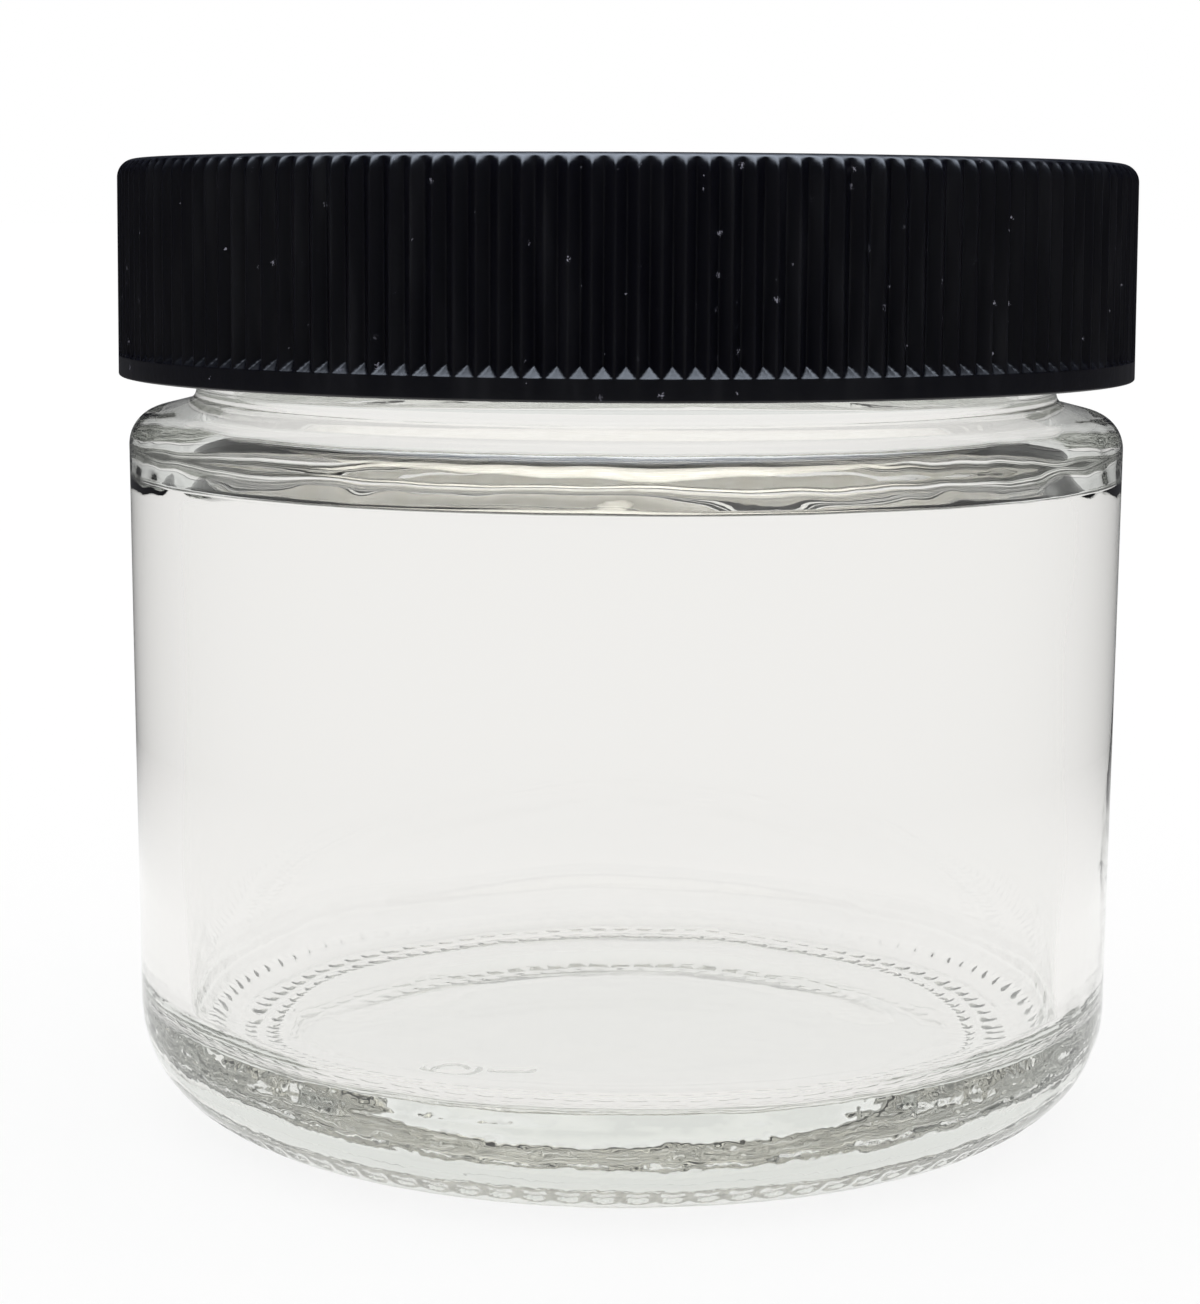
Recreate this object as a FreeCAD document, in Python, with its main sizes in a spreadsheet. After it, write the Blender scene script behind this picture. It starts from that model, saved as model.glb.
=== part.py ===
"""A straight-sided specimen jar: a clear glass jar, its ribbed screw cap and the cap's two-layer liner.

The frame is the jar's own: the origin is the middle of its base and +Z is up along its axis.
Lengths are millimetres and angles are degrees. The closure is a 53-400: one right-hand thread of
6 turns an inch on a finish of 53 mm nominal diameter.
"""
import FreeCAD, Part
import math
import os

import Sketcher

# The driving dimensions, from the table up. Each is a cell of the sheet, under the same name.
DIMENSIONS = {
    # glass body, outside
    "body_radius": 27.67,
    "heel_radius": 6.1,
    "bearing_width": 2.1,
    "push_up_depth": 0.25,
    "push_up_radius": 10.0,
    "shoulder_start": 37.6,
    "shoulder_radius": 2.0,
    "shoulder_turn": 76.0,
    "neck_radius": 23.95,
    "neck_fillet": 0.7,
    # glass body, inside
    "wall_radius": 25.1,
    "floor_height": 5.1,
    "floor_radius": 18.4,
    "floor_turn": 20.0,
    "inner_heel_radius": 1.8,
    "inner_wall_top": 35.75,
    "ledge_turn": 46.0,
    "ledge_round": 0.35,
    "mouth_radius": 21.9,
    # threaded finish of the jar
    "finish_foot": 41.45,
    "finish_start": 42.25,
    "finish_radius": 25.1,
    "rim_height": 50.68,
    "rim_round": 0.8,
    "thread_pitch": 4.2333,
    "thread_turns": 1.1,
    "thread_end": 48.3,
    "thread_depth": 1.15,
    "thread_foot_width": 2.4,
    "thread_crest_width": 1.0,
    "thread_root_overlap": 0.4,
    # liner
    "rim_gap": 0.02,
    "liner_radius": 26.3,
    "facing_thickness": 0.1,
    "backing_thickness": 0.9,
    # cap
    "cap_bottom": 41.38,
    "cap_top": 52.98,
    "cap_panel": 1.24,
    "cap_top_radius": 28.0,
    "cap_bottom_radius": 28.15,
    "cap_round": 1.0,
    "cap_bore_radius": 26.55,
    "cap_lip_chamfer": 0.5,
    "cap_thread_drop": 1.65,
    "cap_thread_turns": 1.25,
    "cap_thread_depth": 1.22,
    "cap_thread_foot_width": 1.9,
    "cap_thread_crest_width": 0.9,
    # grip grooves of the cap
    "rib_count": 160,
    "groove_root_radius": 27.55,
    "groove_mouth_radius": 28.2,
    "groove_floor_width": 0.12,
    "groove_mouth_width": 1.0,
    "groove_bottom": 42.45,
    "groove_ramp": 0.65,
}


class Size:
    """A dimension, or a formula of dimensions: its value now, and the sheet expression behind it."""

    def __init__(self, value, text):
        self.value = value
        self.text = text

    def __add__(self, other):
        return Size(self.value + other.value, f"({self.text} + {other.text})")

    def __sub__(self, other):
        return Size(self.value - other.value, f"({self.text} - {other.text})")

    def __mul__(self, other):
        return Size(self.value * other.value, f"({self.text} * {other.text})")

    def __truediv__(self, other):
        return Size(self.value / other.value, f"({self.text} / {other.text})")

    def half(self):
        return Size(self.value / 2, f"({self.text} / 2)")

    def negative(self):
        return Size(-self.value, f"(-{self.text})")


ONE = Size(1.0, "1")


def size(name):
    """The driving dimension of that name."""
    return Size(DIMENSIONS[name], f"sizes.{name}")


def sine(angle):
    return Size(math.sin(math.radians(angle.value)), f"sin({angle.text} * 1 deg)")


def cosine(angle):
    return Size(math.cos(math.radians(angle.value)), f"cos({angle.text} * 1 deg)")


def fill_sheet(doc):
    """Writes each driving dimension to the sheet as a plain number, with its name as the alias."""
    sheet = doc.addObject("Spreadsheet::Sheet", "sizes")
    for row, (name, value) in enumerate(DIMENSIONS.items(), start=1):
        sheet.set(f"A{row}", name)
        sheet.set(f"B{row}", str(value))
        sheet.setAlias(f"B{row}", name)
    doc.recompute()


# Sketches

LEFT = 1  # an arc that turns left from its first point to its second
RIGHT = -1


def start_sketch(body, role, name):
    """An empty sketch on one of the body's own origin planes."""
    sketch = body.newObject("Sketcher::SketchObject", name)
    plane = [feature for feature in body.Origin.OriginFeatures if feature.Role == role][0]
    sketch.AttachmentSupport = [(plane, "")]
    sketch.MapMode = "FlatFace"
    return sketch


def short_arc(start, end, radius, turn):
    """The shorter arc of that radius between two points, as the sketcher draws it: anticlockwise."""
    chord = end - start
    across = FreeCAD.Vector(-chord.y, chord.x, 0) / chord.Length
    reach = math.sqrt(max(radius**2 - (chord.Length / 2) ** 2, 0.0))
    centre = start + chord / 2 + across * (reach * turn)
    first, last = (start, end) if turn == LEFT else (end, start)
    angles = [math.atan2(point.y - centre.y, point.x - centre.x) for point in (first, last)]
    if angles[1] < angles[0]:
        angles[1] += 2 * math.pi
    circle = Part.Circle(centre, FreeCAD.Vector(0, 0, 1), radius)
    return Part.ArcOfCircle(circle, angles[0], angles[1])


def bind(sketch, constraint, name, size_value):
    """Adds a dimension to the sketch, driven by the sheet."""
    index = sketch.addConstraint(constraint)
    sketch.renameConstraint(index, name)
    sketch.setExpression(f"Constraints.{name}", size_value.text)


def place(sketch, edge, end, number, corner):
    """Fixes one corner by its distances from the axis and from the base plane. None means on it."""
    across, up = corner
    if across is None:
        sketch.addConstraint(Sketcher.Constraint("PointOnObject", edge, end, -2))
    else:
        fixed = Sketcher.Constraint("DistanceX", -1, 1, edge, end, across.value)
        bind(sketch, fixed, f"across_{number}", across)
    if up is None:
        sketch.addConstraint(Sketcher.Constraint("PointOnObject", edge, end, -1))
    else:
        fixed = Sketcher.Constraint("DistanceY", -1, 1, edge, end, up.value)
        bind(sketch, fixed, f"up_{number}", up)


def draw(sketch, outline):
    """Draws a closed outline. Each item is a corner, then how the edge from it runs to the next."""
    corners = [(across, up) for across, up, _ in outline]
    values = [[0.0 if part is None else part.value for part in corner] for corner in corners]
    points = [FreeCAD.Vector(across, up, 0) for across, up in values]
    ends = []
    for number, (_, _, arc) in enumerate(outline):
        start = points[number]
        end = points[(number + 1) % len(points)]
        if arc is None:
            edge = sketch.addGeometry(Part.LineSegment(start, end))
            ends.append((edge, 1, 2))
            continue
        radius, turn = arc
        edge = sketch.addGeometry(short_arc(start, end, radius.value, turn))
        ends.append((edge, 1, 2) if turn == LEFT else (edge, 2, 1))
    for number, (edge, first, last) in enumerate(ends):
        following, its_first, _ = ends[(number + 1) % len(ends)]
        sketch.addConstraint(Sketcher.Constraint("Coincident", edge, last, following, its_first))
        place(sketch, edge, first, number, corners[number])
    for number, (_, _, arc) in enumerate(outline):
        if arc is not None:
            radius = arc[0]
            fixed = Sketcher.Constraint("Radius", ends[number][0], radius.value)
            bind(sketch, fixed, f"radius_{number}", radius)


def revolve(body, name, outline):
    """A solid of revolution about the body's Z axis."""
    sketch = start_sketch(body, "XZ_Plane", f"{name}_outline")
    draw(sketch, outline)
    solid = body.newObject("PartDesign::Revolution", name)
    solid.Profile = sketch
    solid.ReferenceAxis = (sketch, ["V_Axis"])
    solid.Angle = 360
    return solid


def thread_section(root, depth, overlap, foot_width, crest_width, middle):
    """A thread's section. It stands depth proud of root, out of or into the bore by its sign."""
    foot = foot_width.half()
    crest = crest_width.half()
    flank = (foot - crest) / depth
    sunk_foot = foot + flank * overlap
    return [
        (root - overlap, middle - sunk_foot, None),
        (root + depth, middle - crest, None),
        (root + depth, middle + crest, None),
        (root - overlap, middle + sunk_foot, None),
    ]


def thread(body, role, name, section, turns):
    """A right-hand thread: the section swept up the helix from one of the body's origin planes."""
    sketch = start_sketch(body, role, f"{name}_section")
    draw(sketch, section)
    helix = body.newObject("PartDesign::AdditiveHelix", name)
    helix.Profile = sketch
    helix.ReferenceAxis = (sketch, ["V_Axis"])
    helix.Mode = "pitch-turns-angle"
    helix.setExpression("Pitch", size("thread_pitch").text)
    helix.setExpression("Turns", turns.text)
    return helix


# The pieces


def jar_outline():
    """Half the jar's section: out along the base, up the outside, over the rim and down the inside."""
    body = size("body_radius")
    heel = size("heel_radius")
    push_up = size("push_up_depth")
    bearing_outer = body - heel
    bearing_inner = bearing_outer - size("bearing_width")
    push_up_radius = size("push_up_radius")
    foot_run = bearing_inner - push_up_radius
    foot_bend = (foot_run * foot_run / push_up + push_up).half().half()

    shoulder = size("shoulder_radius")
    turn = size("shoulder_turn")
    turned = ONE - cosine(turn)
    shoulder_edge = body - shoulder * turned
    shoulder_rise = size("shoulder_start") + shoulder * sine(turn)
    neck = size("neck_radius")
    fillet = size("neck_fillet")
    slope_end = neck + fillet * turned
    slope_top = shoulder_rise + (shoulder_edge - slope_end) * cosine(turn) / sine(turn)
    neck_foot = slope_top + fillet * sine(turn)

    finish = size("finish_radius")
    rim = size("rim_height")
    rim_round = size("rim_round")
    mouth = size("mouth_radius")

    wall = size("wall_radius")
    wall_top = size("inner_wall_top")
    ledge_turn = size("ledge_turn")
    ledge_round = size("ledge_round")
    round_run = ledge_round * (ONE - cosine(ledge_turn))
    round_rise = ledge_round * sine(ledge_turn)
    ledge_run = wall - mouth - round_run - round_run
    ledge_top = wall_top + round_rise + ledge_run * cosine(ledge_turn) / sine(ledge_turn)

    floor = size("floor_height")
    flat = size("floor_radius")
    floor_turn = size("floor_turn")
    inner_heel = size("inner_heel_radius")
    heel_centre = wall - inner_heel
    sweep = (heel_centre - flat) / sine(floor_turn) + inner_heel
    heel_foot = heel_centre + inner_heel * sine(floor_turn)
    heel_foot_rise = floor + sweep * (ONE - cosine(floor_turn))
    return [
        (None, push_up, None),
        (push_up_radius, push_up, (foot_bend, RIGHT)),
        (push_up_radius + foot_run.half(), push_up.half(), (foot_bend, LEFT)),
        (bearing_inner, None, None),
        (bearing_outer, None, (heel, LEFT)),
        (body, heel, None),
        (body, size("shoulder_start"), (shoulder, LEFT)),
        (shoulder_edge, shoulder_rise, None),
        (slope_end, slope_top, (fillet, RIGHT)),
        (neck, neck_foot, None),
        (neck, size("finish_foot"), None),
        (finish, size("finish_start"), None),
        (finish, rim - rim_round, (rim_round, LEFT)),
        (finish - rim_round, rim, None),
        (mouth + rim_round, rim, (rim_round, LEFT)),
        (mouth, rim - rim_round, None),
        (mouth, ledge_top + round_rise, (ledge_round, LEFT)),
        (mouth + round_run, ledge_top, None),
        (wall - round_run, wall_top + round_rise, (ledge_round, RIGHT)),
        (wall, wall_top, None),
        (wall, heel_foot_rise + inner_heel * cosine(floor_turn), (inner_heel, RIGHT)),
        (heel_foot, heel_foot_rise, (sweep, RIGHT)),
        (flat, floor, None),
        (None, floor, None),
    ]


def build_jar(doc):
    """The glass: one revolved body with its thread standing proud of the finish."""
    body = doc.addObject("PartDesign::Body", "glass_jar")
    revolve(body, "glass", jar_outline())
    middle = size("thread_end") - size("thread_pitch") * size("thread_turns")
    section = thread_section(
        size("finish_radius"),
        size("thread_depth"),
        size("thread_root_overlap"),
        size("thread_foot_width"),
        size("thread_crest_width"),
        middle,
    )
    thread(body, "XZ_Plane", "jar_thread", section, size("thread_turns"))
    return body


def cap_outline():
    """Half the cap's section: along the panel's underside, down the bore and up the outside."""
    panel_under = size("cap_top") - size("cap_panel")
    bore = size("cap_bore_radius")
    chamfer = size("cap_lip_chamfer")
    bottom = size("cap_bottom")
    top = size("cap_top")
    edge = size("cap_round")
    return [
        (None, panel_under, None),
        (bore, panel_under, None),
        (bore, bottom + chamfer, None),
        (bore + chamfer, bottom, None),
        (size("cap_bottom_radius"), bottom, None),
        (size("cap_top_radius"), top - edge, (edge, LEFT)),
        (size("cap_top_radius") - edge, top, None),
        (None, top, None),
    ]


def cap_thread_section():
    """The cap's thread, a quarter turn on from the jar's and just under it, so that its top bears.

    It stands into the bore, so its depth and its overlap with the wall are counted inwards.
    """
    quarter_turn = size("thread_pitch").half().half()
    jar_start = size("thread_end") - size("thread_pitch") * size("thread_turns")
    return thread_section(
        size("cap_bore_radius"),
        size("cap_thread_depth").negative(),
        size("thread_root_overlap").negative(),
        size("cap_thread_foot_width"),
        size("cap_thread_crest_width"),
        jar_start + quarter_turn - size("cap_thread_drop"),
    )


def cut_grooves(body):
    """The V-shaped grip grooves. Each runs out at the top and ends in a ramp above the plain band."""
    groove = body.newObject("PartDesign::SubtractiveWedge", "grip_groove")
    mouth = size("groove_mouth_width").half()
    bed = size("groove_floor_width").half()
    past_top = size("cap_top") + size("cap_round")
    faces = {
        "Xmin": mouth.negative(),
        "Xmax": mouth,
        "X2min": bed.negative(),
        "X2max": bed,
        "Ymin": size("groove_mouth_radius").negative(),
        "Ymax": size("groove_root_radius").negative(),
        "Zmin": size("groove_bottom"),
        "Z2min": size("groove_bottom") + size("groove_ramp"),
        "Zmax": past_top,
        "Z2max": past_top,
    }
    for name, place_of_face in faces.items():
        setattr(groove, name, place_of_face.value)
        groove.setExpression(name, place_of_face.text)
    body.Document.recompute()
    grooves = body.newObject("PartDesign::PolarPattern", "grip_grooves")
    grooves.Originals = [groove]
    axis = [feature for feature in body.Origin.OriginFeatures if feature.Role == "Z_Axis"][0]
    grooves.Axis = (axis, [""])
    grooves.Angle = 360
    grooves.setExpression("Occurrences", size("rib_count").text)
    body.Tip = grooves


def build_cap(doc):
    """The moulded cap: a cup with a thread in its bore and grip grooves round its skirt."""
    body = doc.addObject("PartDesign::Body", "screw_cap")
    revolve(body, "cup", cap_outline())
    thread(body, "YZ_Plane", "cap_thread", cap_thread_section(), size("cap_thread_turns"))
    doc.recompute()
    plain_volume = body.Shape.Volume
    cut_grooves(body)
    doc.recompute()
    if body.Shape.Volume >= plain_volume:
        raise RuntimeError("the grip grooves cut nothing")
    return body


def build_disc(doc, label, foot, thickness):
    """One layer of the liner: a flat disc."""
    disc = doc.addObject("Part::Cylinder", label)
    disc.setExpression("Radius", size("liner_radius").text)
    disc.setExpression("Height", thickness.text)
    disc.setExpression("Placement.Base.z", foot.text)
    return disc


def build_liner(doc):
    """The liner: a thin facing film against the rim, bonded under a thicker backing disc."""
    foot = size("rim_height") + size("rim_gap")
    facing = build_disc(doc, "liner_facing", foot, size("facing_thickness"))
    middle = foot + size("facing_thickness")
    backing = build_disc(doc, "liner_backing", middle, size("backing_thickness"))
    return [facing, backing]


def check(doc, pieces):
    """Stops unless every object recomputed and every piece is one valid solid."""
    for item in doc.Objects:
        if "Invalid" in item.State or "Error" in item.State:
            raise RuntimeError(f"{item.Label} failed to recompute: {item.State}")
        if item.TypeId == "Sketcher::SketchObject" and not item.FullyConstrained:
            raise RuntimeError(f"{item.Label} isn't fully constrained")
    for piece in pieces:
        shape = piece.Shape
        if shape.isNull() or not shape.isValid() or len(shape.Solids) != 1:
            raise RuntimeError(f"{piece.Label} isn't one valid solid")
        print(f"{piece.Label}: {shape.Volume / 1000:.2f} cm3, {len(shape.Faces)} faces")


def main():
    doc = FreeCAD.newDocument("specimen_jar")
    fill_sheet(doc)
    pieces = [build_jar(doc), build_cap(doc)] + build_liner(doc)
    doc.recompute()
    check(doc, pieces)
    os.makedirs("parts", exist_ok=True)
    for piece in pieces:
        piece.Shape.exportStep(f"parts/{piece.Label}.step")


main()
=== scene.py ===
"""The looks of the specimen jar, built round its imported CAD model. Blender lengths are metres.

Shapes are worked out in millimetres, as in the CAD model, and scaled as each mesh is made.
"""
import math

import bpy
import numpy as np
from mathutils import Matrix, noise, Vector


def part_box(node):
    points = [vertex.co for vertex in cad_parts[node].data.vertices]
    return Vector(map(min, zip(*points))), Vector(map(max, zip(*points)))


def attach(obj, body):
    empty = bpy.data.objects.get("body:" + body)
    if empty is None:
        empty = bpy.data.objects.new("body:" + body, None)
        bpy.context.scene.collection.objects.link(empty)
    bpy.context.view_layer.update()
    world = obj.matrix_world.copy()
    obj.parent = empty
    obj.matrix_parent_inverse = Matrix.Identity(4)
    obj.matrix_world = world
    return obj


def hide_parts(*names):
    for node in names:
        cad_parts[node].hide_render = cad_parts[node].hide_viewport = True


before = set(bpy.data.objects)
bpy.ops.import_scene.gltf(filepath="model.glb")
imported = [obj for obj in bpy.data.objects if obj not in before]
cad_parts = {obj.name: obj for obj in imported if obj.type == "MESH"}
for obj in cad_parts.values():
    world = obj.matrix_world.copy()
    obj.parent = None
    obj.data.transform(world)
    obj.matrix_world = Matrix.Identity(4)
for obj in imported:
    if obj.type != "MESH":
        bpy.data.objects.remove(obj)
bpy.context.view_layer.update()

MM = 0.001

# Sizes from the frame, in millimetres
JAR_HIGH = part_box("glass_jar")[1] / MM
CAP_LOW, CAP_HIGH = [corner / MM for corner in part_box("screw_cap")]
BODY_RADIUS = JAR_HIGH.x
RIM_HEIGHT = JAR_HIGH.z
CAP_RADIUS = CAP_HIGH.x
CAP_BOTTOM = CAP_LOW.z
CAP_TOP = CAP_HIGH.z

# Glass, outside
HEEL_RADIUS = 6.1
BEARING_WIDTH = 2.1
PUSH_UP = 0.25
PUSH_UP_RADIUS = 10.0
SHOULDER_START = 37.6
SHOULDER_RADIUS = 2.0
SHOULDER_TURN = math.radians(76)
NECK_RADIUS = 23.95
NECK_FILLET = 0.7
FINISH_FOOT = 41.45
FINISH_START = 42.25
FINISH_RADIUS = 25.1
RIM_ROUND = 0.8
MOUTH_RADIUS = 21.9
# Stippling: nubs in two rows round the bearing ring, and a row of dents in the heel above them
NUB_COUNT = 92
NUB_HEIGHT = 0.16
NUB_ROW = BODY_RADIUS - HEEL_RADIUS - 0.4 * BEARING_WIDTH
NUB_ROW_GAP = 1.9
NUB_BOW = 0.55
DENT_DEPTH = 0.14
DENT_ROW = 1.4
DENT_BOW = 0.4
# The mark under the base: a ring and a bar beside it
MARK_HEIGHT = 0.25
MARK_PLACE = (-9.4, -9.6)
MARK_RING = 1.2
MARK_BAR_PLACE = 3.4
MARK_BAR_LENGTH = 2.8
MARK_STROKE = 0.9
# Glass, inside
WALL_RADIUS = 25.1
FLOOR_HEIGHT = 5.1
FLOOR_RADIUS = 18.4
FLOOR_TURN = math.radians(20)
INNER_HEEL = 1.8
INNER_WALL_TOP = 35.75
LEDGE_TURN = math.radians(46)
LEDGE_ROUND = 0.35
# Threads
PITCH = 4.2333
THREAD_END = 48.3
THREAD_TURNS = 1.1
THREAD_DEPTH = 1.15
THREAD_FOOT = 2.4
THREAD_CREST = 1.0
# Cap
CAP_LIP = 0.15
CAP_CHAMFER = 0.5
CAP_ROUND = 1.0
CAP_DRAFT = 0.15
CAP_BORE = 26.55
CAP_PANEL = 1.24
CAP_THREAD_DROP = 1.65
CAP_THREAD_TURNS = 1.25
CAP_THREAD_DEPTH = 1.22
CAP_THREAD_FOOT = 1.9
CAP_THREAD_CREST = 0.9
RIBS = 160
GROOVE_ROOT = 27.55
GROOVE_BOTTOM = 42.5
GROOVE_RAMP = 0.6
GROOVE_SHARE = 0.45
GROOVE_SOFTNESS = 0.07
GATE_RADIUS = 1.9
GATE_DEPTH = 0.12

# Camera
CAMERA_DISTANCE = 168.48 * MM
CAMERA_HEIGHT = 49.73 * MM
CAMERA_PITCH = 0.1803
CAMERA_YAW = 0.00797
CAMERA_ROLL = 0.0055
LENS_MM = 82.17
SHIFT_UP = 0.08666


# Mesh helpers


def line(start, end, step):
    """Points from start up to, not including, end."""
    count = max(1, math.ceil(math.dist(start, end) / step))
    return [
        (start[0] + (end[0] - start[0]) * i / count, start[1] + (end[1] - start[1]) * i / count)
        for i in range(count)
    ]


def arc(centre, radius, first, last, step):
    """Points on an arc, from the first angle up to, not including, the last, in radians."""
    count = max(4, math.ceil(abs(last - first) * radius / step))
    angles = [first + (last - first) * i / count for i in range(count)]
    return [(centre[0] + radius * math.cos(a), centre[1] + radius * math.sin(a)) for a in angles]


def lathe(name, rings, columns):
    """A closed mesh from rings of points. Rings is (rows, columns, 3) in mm; the ends are poles."""
    rows = len(rings)
    vertices = rings.reshape(-1, 3) * MM
    column = np.arange(columns)
    after = (column + 1) % columns
    faces = []
    for row in range(rows - 1):
        low, high = row * columns, (row + 1) * columns
        faces.append(np.stack([low + column, low + after, high + after, high + column], 1))
    faces = np.concatenate(faces).tolist()
    faces.append(list(range(columns))[::-1])
    faces.append([(rows - 1) * columns + i for i in range(columns)])
    mesh = bpy.data.meshes.new(name)
    mesh.from_pydata(vertices.tolist(), [], faces)
    mesh.validate()
    mesh.shade_smooth()
    piece = bpy.data.objects.new(name, mesh)
    bpy.context.scene.collection.objects.link(piece)
    return piece


def smooth_step(value):
    value = np.clip(value, 0.0, 1.0)
    return value * value * (3 - 2 * value)


def thread_height(angle, height, start, turns, depth, foot, crest):
    """How far a right-hand thread stands out of its wall. Its ends taper over an eighth of a turn.

    Angle is anticlockwise from where the thread starts, in turns; start is its height there.
    """
    taper = 0.125
    out = np.zeros_like(height)
    for lap in (-1, 0, 1, 2):
        along = angle + lap
        middle = start + PITCH * along
        across = np.abs(height - middle)
        section = smooth_step((foot / 2 - across) / ((foot - crest) / 2))
        share = smooth_step((along + taper) / taper) * smooth_step((turns + taper - along) / taper)
        out = np.maximum(out, depth * section * share)
    return out


# The glass jar

COLUMNS = 720


def jar_profile():
    """The jar's half section, from the middle of the underside to the middle of the floor inside.

    Each point is (radius, height, zone).
    """
    bearing_outer = BODY_RADIUS - HEEL_RADIUS
    bearing_inner = bearing_outer - BEARING_WIDTH
    foot_run = bearing_inner - PUSH_UP_RADIUS
    foot_bend = (foot_run**2 + PUSH_UP**2) / (4 * PUSH_UP)
    foot_turn = math.asin(foot_run / 2 / foot_bend)
    turned = 1 - math.cos(SHOULDER_TURN)
    edge = BODY_RADIUS - SHOULDER_RADIUS * turned
    edge_rise = SHOULDER_START + SHOULDER_RADIUS * math.sin(SHOULDER_TURN)
    slope_end = NECK_RADIUS + NECK_FILLET * turned
    slope_top = edge_rise + (edge - slope_end) / math.tan(SHOULDER_TURN)
    neck_foot = slope_top + NECK_FILLET * math.sin(SHOULDER_TURN)
    round_run = LEDGE_ROUND * (1 - math.cos(LEDGE_TURN))
    round_rise = LEDGE_ROUND * math.sin(LEDGE_TURN)
    ledge_run = WALL_RADIUS - MOUTH_RADIUS - 2 * round_run
    ledge_top = INNER_WALL_TOP + round_rise + ledge_run / math.tan(LEDGE_TURN)
    bore_foot = ledge_top + round_rise
    quarter = math.pi / 2
    finish_top = RIM_HEIGHT - RIM_ROUND

    zones = {}
    zones["base"] = line((0.5, PUSH_UP), (PUSH_UP_RADIUS, PUSH_UP), 0.25)
    centre = (PUSH_UP_RADIUS, PUSH_UP - foot_bend)
    zones["base_bend"] = arc(centre, foot_bend, quarter, quarter - foot_turn, 0.2)
    centre = (bearing_inner, foot_bend)
    zones["base_foot"] = arc(centre, foot_bend, -quarter - foot_turn, -quarter, 0.2)
    zones["bearing"] = line((bearing_inner, 0), (bearing_outer, 0), 0.12)
    zones["heel"] = arc((bearing_outer, HEEL_RADIUS), HEEL_RADIUS, -quarter, 0, 0.25)
    zones["wall"] = line((BODY_RADIUS, HEEL_RADIUS), (BODY_RADIUS, SHOULDER_START), 0.8)
    centre = (BODY_RADIUS - SHOULDER_RADIUS, SHOULDER_START)
    zones["shoulder"] = arc(centre, SHOULDER_RADIUS, 0, SHOULDER_TURN, 0.15)
    zones["slope"] = line((edge, edge_rise), (slope_end, slope_top), 0.2)
    centre = (NECK_RADIUS + NECK_FILLET, neck_foot)
    zones["neck_fillet"] = arc(centre, NECK_FILLET, math.pi + SHOULDER_TURN, math.pi, 0.1)
    zones["neck"] = line((NECK_RADIUS, neck_foot), (NECK_RADIUS, FINISH_FOOT), 0.25)
    zones["flare"] = line((NECK_RADIUS, FINISH_FOOT), (FINISH_RADIUS, FINISH_START), 0.2)
    zones["finish"] = line((FINISH_RADIUS, FINISH_START), (FINISH_RADIUS, finish_top), 0.11)
    centre = (FINISH_RADIUS - RIM_ROUND, finish_top)
    zones["rim"] = arc(centre, RIM_ROUND, 0, quarter, 0.1)
    land_start = (FINISH_RADIUS - RIM_ROUND, RIM_HEIGHT)
    zones["land"] = line(land_start, (MOUTH_RADIUS + RIM_ROUND, RIM_HEIGHT), 0.3)
    centre = (MOUTH_RADIUS + RIM_ROUND, finish_top)
    zones["mouth_round"] = arc(centre, RIM_ROUND, quarter, math.pi, 0.1)
    zones["mouth"] = line((MOUTH_RADIUS, finish_top), (MOUTH_RADIUS, bore_foot), 0.4)
    centre = (MOUTH_RADIUS + LEDGE_ROUND, bore_foot)
    zones["ledge_round"] = arc(centre, LEDGE_ROUND, math.pi, math.pi + LEDGE_TURN, 0.06)
    ledge_start = (MOUTH_RADIUS + round_run, ledge_top)
    ledge_end = (WALL_RADIUS - round_run, INNER_WALL_TOP + round_rise)
    zones["ledge"] = line(ledge_start, ledge_end, 0.15)
    centre = (WALL_RADIUS - LEDGE_ROUND, INNER_WALL_TOP)
    zones["ledge_corner"] = arc(centre, LEDGE_ROUND, LEDGE_TURN, 0, 0.06)
    sweep = (WALL_RADIUS - INNER_HEEL - FLOOR_RADIUS) / math.sin(FLOOR_TURN) + INNER_HEEL
    wall_foot = FLOOR_HEIGHT + sweep - (sweep - INNER_HEEL) * math.cos(FLOOR_TURN)
    zones["inner_wall"] = line((WALL_RADIUS, INNER_WALL_TOP), (WALL_RADIUS, wall_foot), 0.8)
    centre = (WALL_RADIUS - INNER_HEEL, wall_foot)
    zones["inner_heel"] = arc(centre, INNER_HEEL, 0, FLOOR_TURN - quarter, 0.15)
    centre = (FLOOR_RADIUS, FLOOR_HEIGHT + sweep)
    zones["floor_rise"] = arc(centre, sweep, FLOOR_TURN - quarter, -quarter, 0.3)
    zones["floor"] = line((FLOOR_RADIUS, FLOOR_HEIGHT), (0.5, FLOOR_HEIGHT), 0.8)
    return [(r, z, name) for name, points in zones.items() for r, z in points]


def ripple(points, scale, seed):
    """A smooth random field over points in mm, about -1 to 1, whose waves are scale mm long."""
    shift = Vector((seed * 17.3, seed * 5.1, seed * 9.7))
    return np.array([noise.noise(Vector(p) / scale + shift) for p in points])


def profile_normals(profile):
    """The outward direction at each point of a profile, in the r-z plane."""
    points = np.array([(r, z) for r, z, _ in profile])
    ahead = np.roll(points, -1, 0) - np.roll(points, 1, 0)
    ahead[0] = (1.0, 0.0)
    ahead[-1] = (-1.0, 0.0)
    ahead /= np.linalg.norm(ahead, axis=1)[:, None]
    return np.stack([ahead[:, 1], -ahead[:, 0]], 1)


def place_in_row(angle, offset):
    """Where each point is between the middles of two neighbours in a row, from -0.5 to 0.5."""
    return (angle / (2 * math.pi) * NUB_COUNT + offset) % 1.0 - 0.5


def spot(across, along, across_steepness=1.4):
    """A smooth spot: one in its middle, nought where across or along reaches one."""
    return smooth_step(across_steepness * (1 - across)) * smooth_step(2.5 * (1 - along))


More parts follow.
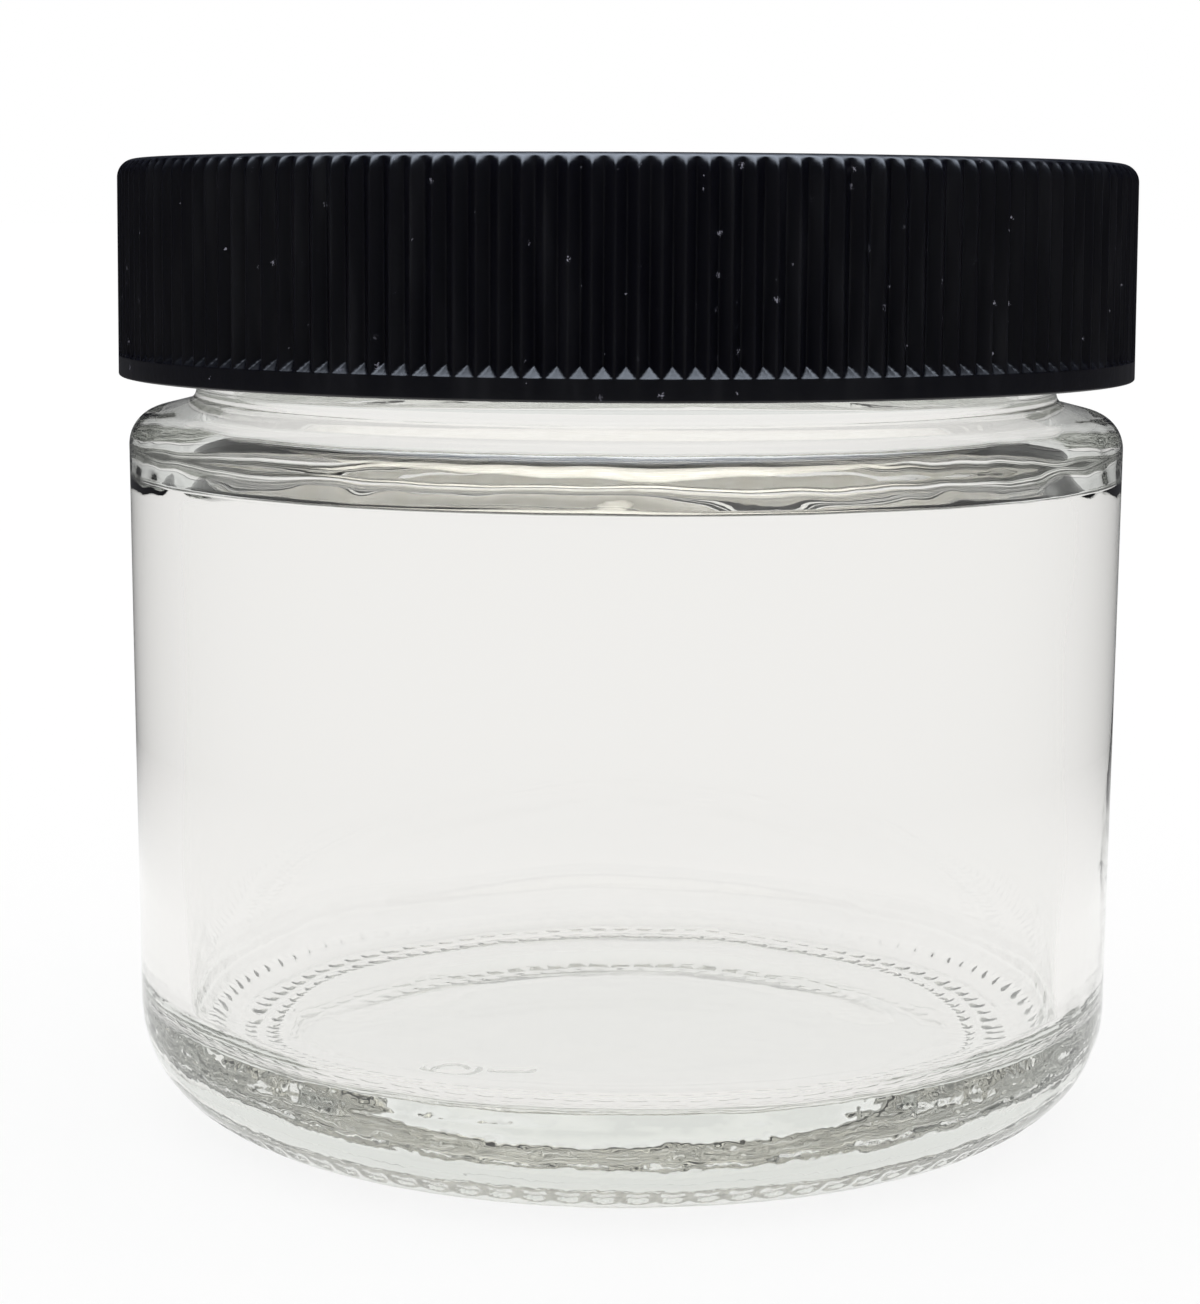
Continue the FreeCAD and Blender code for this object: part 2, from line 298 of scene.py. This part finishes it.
def nub_height(radius, angle):
    """The two rows of nubs round the bearing ring. The inner ones are crescents, bowed outwards."""
    half_length = 0.38
    turn = place_in_row(angle, 0.0)
    bow = NUB_BOW * (1 - (turn / half_length) ** 2) - 0.3
    inner_row = spot(np.abs(radius - NUB_ROW - bow) / 0.36, np.abs(turn) / half_length)
    turn = place_in_row(angle, 0.5)
    outer_row = spot(np.abs(radius - NUB_ROW - NUB_ROW_GAP) / 0.5, np.abs(turn) / 0.36)
    return NUB_HEIGHT * np.maximum(inner_row, outer_row)


def dent_share(height, angle):
    """The row of dents round the heel above the nubs: crescents whose tips turn up, 0 to 1."""
    along = np.abs(place_in_row(angle, 0.0)) / 0.4
    across = np.abs(height - DENT_ROW - DENT_BOW * along**2) / 0.34
    return spot(across, along, 1.6)


def mark_height(x, y):
    """A mark with no meaning, raised from the underside: a small ring and a bar."""
    across, up = x - MARK_PLACE[0], y - MARK_PLACE[1]
    stroke = MARK_STROKE / 2
    ring_share = smooth_step(2 * (1 - np.abs(np.hypot(across, up) - MARK_RING) / stroke))
    bar_share = smooth_step(3 * (1 - np.abs(across - MARK_BAR_PLACE) / (MARK_BAR_LENGTH / 2)))
    bar_share = bar_share * smooth_step(2 * (1 - np.abs(up) / stroke))
    return MARK_HEIGHT * np.maximum(ring_share, bar_share)


# How much of the ripple each zone of the glass has, outside and inside
OUTER = {"heel": 1.0, "wall": 1.0, "shoulder": 1.0, "slope": 1.0, "neck_fillet": 0.6, "neck": 0.5}
INNER = {
    "mouth": 0.4,
    "ledge_round": 1.6,
    "ledge": 1.8,
    "ledge_corner": 1.8,
    "inner_wall": 1.0,
    "inner_heel": 1.6,
    "floor_rise": 1.4,
    "floor": 1.0,
}
RESTLESS = ["heel", "inner_heel", "floor_rise", "ledge", "ledge_corner"]
UNDERSIDE = ["base", "base_bend", "base_foot", "bearing"]


def build_jar():
    """The glass: its profile turned round the axis, with thread, stippling, mark and ripple."""
    profile = jar_profile()
    radius = np.array([r for r, _, _ in profile])[:, None]
    height = np.array([z for _, z, _ in profile])[:, None]
    zone = np.array([name for _, _, name in profile])[:, None]
    normals = profile_normals(profile)
    angle = (np.arange(COLUMNS) / COLUMNS * 2 * math.pi)[None, :]
    radius = np.repeat(radius, COLUMNS, 1)
    height = np.repeat(height, COLUMNS, 1)
    angle = np.repeat(angle, len(profile), 0)

    finish = zone == "finish"
    start = THREAD_END - PITCH * THREAD_TURNS
    turns = angle / (2 * math.pi)
    section = (THREAD_DEPTH, THREAD_FOOT, THREAD_CREST)
    rise = thread_height(turns, height, start, THREAD_TURNS, *section)
    radius += np.where(finish, rise, 0.0)

    # The nubs' tops are at the base plane, so all between them is lifted by a nub's height
    under = np.isin(zone, UNDERSIDE) | ((zone == "heel") & (height < 0.8))
    lift = NUB_HEIGHT * smooth_step(BODY_RADIUS - HEEL_RADIUS + 2.6 - radius)
    height += np.where(under, lift - np.minimum(nub_height(radius, angle), lift), 0.0)

    mark = mark_height(radius * np.cos(angle), radius * np.sin(angle))
    height -= np.where(np.isin(zone, ["base", "base_bend"]), mark, 0.0)

    # The glass's ripple, which only ever goes inwards on the outside
    points = np.stack([radius * np.cos(angle), radius * np.sin(angle), height], 2)
    flat = points.reshape(-1, 3)
    outer = np.array([OUTER.get(name, 0.0) for name in zone[:, 0]])
    inner = np.array([INNER.get(name, 0.0) for name in zone[:, 0]])
    gentle = ripple(flat, 9.0, 1).reshape(points.shape[:2])
    lively = ripple(flat, 5.0, 2).reshape(points.shape[:2])
    push = 0.012 * outer[:, None] * (gentle - 1) + inner[:, None] * (0.05 * gentle + 0.02 * lively)
    restless = ripple(flat, 2.6, 3).reshape(points.shape[:2])
    push += np.where(np.isin(zone, RESTLESS), 0.03 * (restless - 1), 0.0)
    push -= np.where(zone == "heel", DENT_DEPTH * dent_share(height, angle), 0.0)
    points[:, :, 0] += push * normals[:, 0][:, None] * np.cos(angle)
    points[:, :, 1] += push * normals[:, 0][:, None] * np.sin(angle)
    points[:, :, 2] += push * normals[:, 1][:, None]
    jar = lathe("jar_glass", points, COLUMNS)
    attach(jar, "jar")
    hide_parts("glass_jar")
    return jar


# The cap

# Where each rib's points stand round it, from the root of one groove to the next
RIB_STEPS = [0.0, 0.05, 0.12, 0.26, 0.40, 0.455, 0.5, 0.545, 0.60, 0.74, 0.88, 0.95]
RING_OUT = RIBS * len(RIB_STEPS)
RING_IN = RING_OUT // 4


def ring(radius, height, angle):
    return np.stack([radius * np.cos(angle), radius * np.sin(angle), height], -1)


def rib_radius(height, envelope, phase):
    """The cap's outside at a height: V grooves that end in a ramp above the plain band."""
    from_root = np.minimum(phase, 1 - phase)
    deep = envelope - GROOVE_ROOT
    rounded = np.sqrt((from_root / GROOVE_SHARE) ** 2 + GROOVE_SOFTNESS**2) - 0.03
    v_groove = GROOVE_ROOT + rounded * deep
    ramp_share = (GROOVE_BOTTOM + GROOVE_RAMP - height) / GROOVE_RAMP
    ramp = GROOVE_ROOT + ramp_share * deep
    return np.minimum(envelope, np.maximum(v_groove, ramp))


def build_cap():
    """The moulded cap: ribs on fine rings of points, the bore and the panel on coarser ones."""
    steps = np.array(RIB_STEPS)
    phase = np.tile(steps, RIBS)
    fine = (np.repeat(np.arange(RIBS), len(steps)) + phase) / RIBS * 2 * math.pi - math.pi / 2
    coarse = fine[::4]

    round_foot = CAP_TOP - CAP_ROUND
    outline = [(CAP_RADIUS - CAP_LIP, CAP_BOTTOM)]
    lip_centre = (CAP_RADIUS - CAP_LIP, CAP_BOTTOM + CAP_LIP)
    outline += arc(lip_centre, CAP_LIP, -math.pi / 2 + 0.4, 0, 0.06)
    heights = [CAP_BOTTOM + CAP_LIP, CAP_BOTTOM + 0.6, GROOVE_BOTTOM - 0.03]
    heights += list(np.linspace(GROOVE_BOTTOM, GROOVE_BOTTOM + GROOVE_RAMP + 0.1, 15))
    heights += list(np.linspace(GROOVE_BOTTOM + 1.2, round_foot, 9))
    for height in heights:
        share = (height - CAP_BOTTOM) / (round_foot - CAP_BOTTOM)
        outline.append((CAP_RADIUS - CAP_DRAFT * share, height))
    top_radius = CAP_RADIUS - CAP_DRAFT
    outline += arc((top_radius - CAP_ROUND, round_foot), CAP_ROUND, 0.06, math.pi / 2, 0.08)
    outline.append((top_radius - CAP_ROUND, CAP_TOP))
    outer = []
    for envelope, height in outline:
        radius = np.full(RING_OUT, envelope)
        if height > GROOVE_BOTTOM - 0.01:
            radius = rib_radius(height, envelope, phase)
        outer.append(ring(radius, np.full(RING_OUT, height), fine))

    panel_under = CAP_TOP - CAP_PANEL
    bore_foot = CAP_BOTTOM + CAP_CHAMFER
    inner = [(CAP_BORE + CAP_CHAMFER, CAP_BOTTOM)]
    inner += line((CAP_BORE + CAP_CHAMFER, CAP_BOTTOM + 0.02), (CAP_BORE, bore_foot), 0.2)
    inner += line((CAP_BORE, bore_foot), (CAP_BORE, panel_under), 0.14)
    inner += line((CAP_BORE, panel_under), (1.0, panel_under), 1.5)
    bore = []
    start = THREAD_END - PITCH * THREAD_TURNS + PITCH / 4 - CAP_THREAD_DROP
    turns = (coarse - math.pi / 2) / (2 * math.pi)
    section = (CAP_THREAD_DEPTH, CAP_THREAD_FOOT, CAP_THREAD_CREST)
    for radius, height in inner:
        level = np.full(RING_IN, height)
        rise = thread_height(turns, level, start, CAP_THREAD_TURNS, *section)
        in_bore = abs(radius - CAP_BORE) < 0.01
        bore.append(ring(radius - rise * in_bore, level, coarse))

    # The lid, with the moulding's gate in a shallow dish at its middle
    lid = []
    lid_outline = line((top_radius - CAP_ROUND - 0.4, CAP_TOP), (GATE_RADIUS, CAP_TOP), 2.0)
    lid_outline += [(GATE_RADIUS, CAP_TOP), (GATE_RADIUS - 0.15, CAP_TOP - GATE_DEPTH + 0.02)]
    lid_outline += [(0.5, CAP_TOP - GATE_DEPTH), (0.42, CAP_TOP - 0.02), (0.2, CAP_TOP - 0.01)]
    for radius, height in lid_outline:
        lid.append(ring(np.full(RING_IN, radius), np.full(RING_IN, height), coarse))

    groups = [(inner_ring, RING_IN) for inner_ring in reversed(bore)]
    groups += [(outer_ring, RING_OUT) for outer_ring in outer]
    groups += [(lid_ring, RING_IN) for lid_ring in lid]
    vertices = np.concatenate([points for points, _ in groups]) * MM
    faces = [list(range(RING_IN))[::-1]]
    offset = 0
    for (_, count), (_, following) in zip(groups, groups[1:]):
        above = offset + count
        if count == following:
            for i in range(count):
                j = (i + 1) % count
                faces.append([offset + i, offset + j, above + j, above + i])
        elif count < following:
            for i in range(count):
                j = (i + 1) % count
                many = [above + (4 * i + k) % following for k in range(4, -1, -1)]
                faces.append([offset + i, offset + j] + many)
        else:
            for i in range(following):
                j = (i + 1) % following
                many = [offset + (4 * i + k) % count for k in range(5)]
                faces.append(many + [above + j, above + i])
        offset = above
    faces.append([offset + i for i in range(RING_IN)])
    mesh = bpy.data.meshes.new("cap_moulding")
    mesh.from_pydata(vertices.tolist(), [], faces)
    mesh.validate()
    mesh.shade_smooth()
    cap = bpy.data.objects.new("cap_moulding", mesh)
    bpy.context.scene.collection.objects.link(cap)
    weighted = cap.modifiers.new("weighted", "WEIGHTED_NORMAL")
    weighted.keep_sharp = True
    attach(cap, "cap")
    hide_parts("screw_cap")
    return cap


# Materials


def new_material(name):
    material = bpy.data.materials.new(name)
    material.use_nodes = True
    tree = material.node_tree
    return material, tree, tree.nodes["Principled BSDF"]


def add(tree, kind, **values):
    """A node of that kind with its named inputs set, or linked when given a node's output."""
    node = tree.nodes.new(kind)
    for name, value in values.items():
        socket = node.inputs[name.replace("_", " ")]
        if isinstance(value, bpy.types.NodeSocket):
            tree.links.new(value, socket)
        else:
            socket.default_value = value
    return node


def calculate(tree, operation, first, second):
    """A Math node's output, of outputs or plain numbers."""
    node = tree.nodes.new("ShaderNodeMath")
    node.operation = operation
    for socket, value in ((node.inputs[0], first), (node.inputs[1], second)):
        if isinstance(value, bpy.types.NodeSocket):
            tree.links.new(value, socket)
        else:
            socket.default_value = value
    return node.outputs[0]


def stretched(tree, vector, x, y, z):
    """The vector scaled along each axis."""
    node = tree.nodes.new("ShaderNodeVectorMath")
    node.operation = "MULTIPLY"
    tree.links.new(vector, node.inputs[0])
    node.inputs[1].default_value = (x, y, z)
    return node.outputs[0]


def length_of(tree, vector):
    """The vector's length."""
    node = tree.nodes.new("ShaderNodeVectorMath")
    node.operation = "LENGTH"
    tree.links.new(vector, node.inputs[0])
    return node.outputs["Value"]


def spread(tree, value, low, high, out_low, out_high):
    """The value's range low to high mapped smoothly to out_low to out_high."""
    node = add(tree, "ShaderNodeMapRange", Value=value)
    node.interpolation_type = "SMOOTHSTEP"
    numbers = {"From Min": low, "From Max": high, "To Min": out_low, "To Max": out_high}
    for name, number in numbers.items():
        node.inputs[name].default_value = number
    return node.outputs["Result"]


def bump(tree, shader, height, distance):
    node = add(tree, "ShaderNodeBump", Height=height, Distance=distance * MM, Strength=1.0)
    tree.links.new(node.outputs["Normal"], shader.inputs["Normal"])


def glass_material():
    """Clear glass, faintly green through its thickness, uneven where the mould chilled the heel."""
    material, tree, shader = new_material("flint_glass")
    shader.inputs["Base Color"].default_value = (1, 1, 1, 1)
    shader.inputs["IOR"].default_value = 1.52
    shader.inputs["Transmission Weight"].default_value = 1.0
    absorb = add(tree, "ShaderNodeVolumeAbsorption", Color=(0.85, 0.865, 0.83, 1), Density=14.0)
    tree.links.new(absorb.outputs[0], tree.nodes["Material Output"].inputs["Volume"])

    place = tree.nodes.new("ShaderNodeTexCoord").outputs["Object"]
    split = add(tree, "ShaderNodeSeparateXYZ", Vector=place)
    low = spread(tree, split.outputs["Z"], 4.5 * MM, 9 * MM, 1.0, 0.05)
    from_axis = length_of(tree, stretched(tree, place, 1, 1, 0))
    outside = spread(tree, from_axis, 18 * MM, 23 * MM, 0.08, 1.0)
    chilled = calculate(tree, "MULTIPLY", outside, low)
    grain = add(tree, "ShaderNodeTexNoise", Vector=place, Scale=1 / (1.6 * MM), Detail=2.0)
    bump(tree, shader, calculate(tree, "MULTIPLY", grain.outputs["Fac"], chilled), 0.035)
    rough = spread(tree, grain.outputs["Fac"], 0.5, 0.9, 0.0, 0.02)
    tree.links.new(rough, shader.inputs["Roughness"])
    return material


def cap_material():
    """Black polypropylene, satin, with handling scuffs along the ribs and a few specks of dust."""
    material, tree, shader = new_material("black_polypropylene")
    place = tree.nodes.new("ShaderNodeTexCoord").outputs["Object"]
    grain = add(tree, "ShaderNodeTexNoise", Vector=place, Scale=1 / (0.3 * MM), Detail=3.0)
    along = stretched(tree, place, 1, 1, 0.12)
    scuff = add(tree, "ShaderNodeTexNoise", Vector=along, Scale=1 / (0.8 * MM), Detail=4.0)
    cells = add(tree, "ShaderNodeTexVoronoi", Vector=place, Scale=1 / (0.9 * MM))
    flakes = add(tree, "ShaderNodeTexNoise", Vector=place, Scale=1 / (0.09 * MM), Detail=1.0)
    ragged = spread(tree, flakes.outputs["Fac"], 0.3, 0.7, 0.4, 1.8)
    pick = tree.nodes.new("ShaderNodeSeparateColor")
    tree.links.new(cells.outputs["Color"], pick.inputs[0])
    chosen = spread(tree, pick.outputs[0], 0.5, 1.0, 0.0, 1.0)
    size = spread(tree, pick.outputs[1], 0.0, 1.0, 0.03, 0.10)
    distance = calculate(tree, "MULTIPLY", cells.outputs["Distance"], ragged)
    near = calculate(tree, "LESS_THAN", distance, size)
    speck = calculate(tree, "MULTIPLY", near, chosen)
    worn = spread(tree, scuff.outputs["Fac"], 0.5, 0.85, 0.0, 0.015)
    share = calculate(tree, "MAXIMUM", speck, worn)
    colour = mixed(tree, share, (0.0006, 0.0006, 0.0022, 1), (0.11, 0.11, 0.14, 1))
    tree.links.new(colour, shader.inputs["Base Color"])
    rough = spread(tree, scuff.outputs["Fac"], 0.3, 0.75, 0.28, 0.38)
    tree.links.new(rough, shader.inputs["Roughness"])
    bump(tree, shader, grain.outputs["Fac"], 0.012)
    return material


def board_material():
    """Pulpboard: off-white, matt and fibrous."""
    material, tree, shader = new_material("liner_board")
    place = tree.nodes.new("ShaderNodeTexCoord").outputs["Object"]
    scale = 1 / (0.6 * MM)
    fibres = add(tree, "ShaderNodeTexNoise", Vector=place, Scale=scale, Detail=6.0, Distortion=1.5)
    share = spread(tree, fibres.outputs["Fac"], 0.3, 0.7, 0.0, 1.0)
    colour = mixed(tree, share, (0.72, 0.68, 0.58, 1), (0.86, 0.83, 0.76, 1))
    tree.links.new(colour, shader.inputs["Base Color"])
    rough = spread(tree, fibres.outputs["Fac"], 0.3, 0.7, 0.75, 0.95)
    tree.links.new(rough, shader.inputs["Roughness"])
    bump(tree, shader, fibres.outputs["Fac"], 0.05)
    return material


def film_material():
    """The liner's facing: a thin pale film that shows the board's unevenness."""
    material, tree, shader = new_material("liner_film")
    place = tree.nodes.new("ShaderNodeTexCoord").outputs["Object"]
    cloud = add(tree, "ShaderNodeTexNoise", Vector=place, Scale=1 / (2.2 * MM), Detail=4.0)
    share = spread(tree, cloud.outputs["Fac"], 0.35, 0.65, 0.0, 1.0)
    colour = mixed(tree, share, (0.90, 0.88, 0.81, 1), (0.97, 0.96, 0.92, 1))
    tree.links.new(colour, shader.inputs["Base Color"])
    rough = spread(tree, cloud.outputs["Fac"], 0.3, 0.7, 0.18, 0.34)
    tree.links.new(rough, shader.inputs["Roughness"])
    bump(tree, shader, cloud.outputs["Fac"], 0.03)
    return material


def dress(piece, material):
    piece.data.materials.clear()
    piece.data.materials.append(material)


# Stage

# How far the floor reaches each way, and where the sheet seen in reflections starts and ends to fade
# into a painted dark reflection
FLOOR_REACH = 30.0
SHEET_FADE_START = 70 * MM
SHEET_FADE_END = 130 * MM
# The floor's own glow: seen straight on; seen through glass, where it is dimmer and warmer as
# painted shade; and as light on matt surfaces
FLOOR_TONE = (0.85, 0.85, 0.85, 1)
FLOOR_SHADED_THROUGH_GLASS = (0.76, 0.75, 0.73, 1)
FLOOR_LIGHT = (2.8, 2.75, 2.6, 1)


def make_camera():
    data = bpy.data.cameras.new("camera")
    data.lens = LENS_MM
    data.sensor_width = 36.0
    data.shift_y = SHIFT_UP
    data.clip_start = 0.01
    camera = bpy.data.objects.new("camera", data)
    bpy.context.scene.collection.objects.link(camera)
    turn = Matrix.Rotation(CAMERA_YAW, 4, "Z")
    tilt = Matrix.Rotation(math.pi / 2 - CAMERA_PITCH, 4, "X")
    roll = Matrix.Rotation(CAMERA_ROLL, 4, "Z")
    place = Matrix.Translation((0, -CAMERA_DISTANCE, CAMERA_HEIGHT))
    camera.matrix_world = place @ turn @ tilt @ roll
    bpy.context.scene.camera = camera


def ray_kinds(tree):
    """Two shares: of rays that light a matt surface, and of rays seen straight through glass."""
    rays = tree.nodes.new("ShaderNodeLightPath")
    lighting = calculate(tree, "GREATER_THAN", rays.outputs["Diffuse Depth"], 0.5)
    unlit = calculate(tree, "SUBTRACT", 1.0, lighting)
    return lighting, calculate(tree, "MULTIPLY", unlit, rays.outputs["Is Transmission Ray"])


def reflected(tree):
    """One where a ray has just been reflected by a glossy surface, nought elsewhere."""
    rays = tree.nodes.new("ShaderNodeLightPath")
    glossy, turned_back = rays.outputs["Is Glossy Ray"], rays.outputs["Is Reflection Ray"]
    return calculate(tree, "MULTIPLY", glossy, turned_back)


def make_floor():
    """A wide pale floor. In reflections it is a small sheet round the jar, and dark beyond: a
    painted dark reflection.
    """
    mesh = bpy.data.meshes.new("floor")
    reach = FLOOR_REACH
    corners = [(-reach, -reach, 0), (reach, -reach, 0), (reach, reach, 0), (-reach, reach, 0)]
    mesh.from_pydata(corners, [], [(0, 1, 2, 3)])
    floor = bpy.data.objects.new("floor", mesh)
    bpy.context.scene.collection.objects.link(floor)
    material, tree, shader = new_material("pale_floor")
    shader.inputs["Base Color"].default_value = (0.07, 0.07, 0.07, 1)
    shader.inputs["Roughness"].default_value = 0.9
    shader.inputs["Specular IOR Level"].default_value = 0.0
    lighting, clear = ray_kinds(tree)
    # Painted shade: rays that come straight through the glass see the floor's glow dimmer and warmer
    # than the camera sees it
    tone = mixed(tree, clear, FLOOR_TONE, FLOOR_SHADED_THROUGH_GLASS)
    tree.links.new(mixed(tree, lighting, tone, FLOOR_LIGHT), shader.inputs["Emission Color"])
    shader.inputs["Emission Strength"].default_value = 1.0
    # Painted reflection: beyond the sheet, glossy reflections see the floor near black, though the
    # camera sees it pale
    painted_dark_reflection = tree.nodes.new("ShaderNodeBsdfPrincipled")
    painted_dark_reflection.inputs["Base Color"].default_value = (0.02, 0.02, 0.02, 1)
    painted_dark_reflection.inputs["Emission Color"].default_value = (0.012, 0.012, 0.018, 1)
    painted_dark_reflection.inputs["Emission Strength"].default_value = 1.0
    painted_dark_reflection.inputs["Specular IOR Level"].default_value = 0.0
    position = tree.nodes.new("ShaderNodeNewGeometry").outputs["Position"]
    past_sheet = add(tree, "ShaderNodeMapRange", Value=length_of(tree, position))
    past_sheet.inputs["From Min"].default_value = SHEET_FADE_START
    past_sheet.inputs["From Max"].default_value = SHEET_FADE_END
    share = calculate(tree, "MULTIPLY", reflected(tree), past_sheet.outputs["Result"])
    mix = tree.nodes.new("ShaderNodeMixShader")
    tree.links.new(share, mix.inputs[0])
    tree.links.new(shader.outputs[0], mix.inputs[1])
    tree.links.new(painted_dark_reflection.outputs[0], mix.inputs[2])
    tree.links.new(mix.outputs[0], tree.nodes["Material Output"].inputs["Surface"])
    dress(floor, material)


# The surround by the height of a direction: seen straight through glass, and in reflections
ROOM = [
    (0.0, (0.12, 0.12, 0.12)),
    (0.012, (0.18, 0.18, 0.18)),
    (0.03, (0.78, 0.79, 0.77)),
    (0.4, (0.80, 0.81, 0.79)),
    (0.9, (1.0, 1.0, 1.0)),
]
STUDIO = [(0.70, (0.007, 0.007, 0.012)), (0.93, (5.4, 6.0, 7.0))]
ROOM_TONE = (1, 1, 1, 1)
ROOM_LIGHT = (2.2, 2.2, 2.2, 1)


def colour_ramp(tree, value, stops):
    """A colour output that follows a value through (position, colour) stops."""
    ramp = tree.nodes.new("ShaderNodeValToRGB")
    elements = ramp.color_ramp.elements
    while len(elements) < len(stops):
        elements.new(0.5)
    for element, (position, colour) in zip(elements, stops):
        element.position = position
        element.color = (*colour, 1)
    tree.links.new(value, ramp.inputs["Fac"])
    return ramp.outputs["Color"]


def mixed(tree, share, first, second):
    """A mix of two colours, each an output or a plain colour."""
    mix = tree.nodes.new("ShaderNodeMix")
    mix.data_type = "RGBA"
    tree.links.new(share, mix.inputs["Factor"])
    for socket, colour in ((mix.inputs[6], first), (mix.inputs[7], second)):
        if isinstance(colour, tuple):
            socket.default_value = colour
        else:
            tree.links.new(colour, socket)
    return mix.outputs[2]


def make_world():
    """An even white surround that clear glass and the glossy cap see their own way."""
    world = bpy.data.worlds.new("studio")
    bpy.context.scene.world = world
    world.use_nodes = True
    tree = world.node_tree
    background = tree.nodes["Background"]
    background.inputs["Strength"].default_value = 1.0
    direction = tree.nodes.new("ShaderNodeTexCoord")
    split = tree.nodes.new("ShaderNodeSeparateXYZ")
    tree.links.new(direction.outputs["Generated"], split.inputs[0])
    room = colour_ramp(tree, split.outputs["Z"], ROOM)
    studio = colour_ramp(tree, split.outputs["Z"], STUDIO)
    lighting, clear = ray_kinds(tree)
    plain = mixed(tree, lighting, ROOM_TONE, ROOM_LIGHT)
    through = mixed(tree, clear, plain, room)
    seen = mixed(tree, reflected(tree), through, studio)
    tree.links.new(seen, background.inputs["Color"])
    world.cycles.sampling_method = "NONE"


make_camera()
make_world()
make_floor()
jar = build_jar()
dress(jar, glass_material())
cap = build_cap()
dress(cap, cap_material())
dress(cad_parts["liner_backing"], board_material())
dress(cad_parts["liner_facing"], film_material())
bpy.context.scene.view_settings.view_transform = "Standard"
# Light goes round inside the thick heel and shoulder many times before it leaves
paths = bpy.context.scene.cycles
paths.max_bounces = 32
paths.glossy_bounces = 24
paths.transmission_bounces = 24
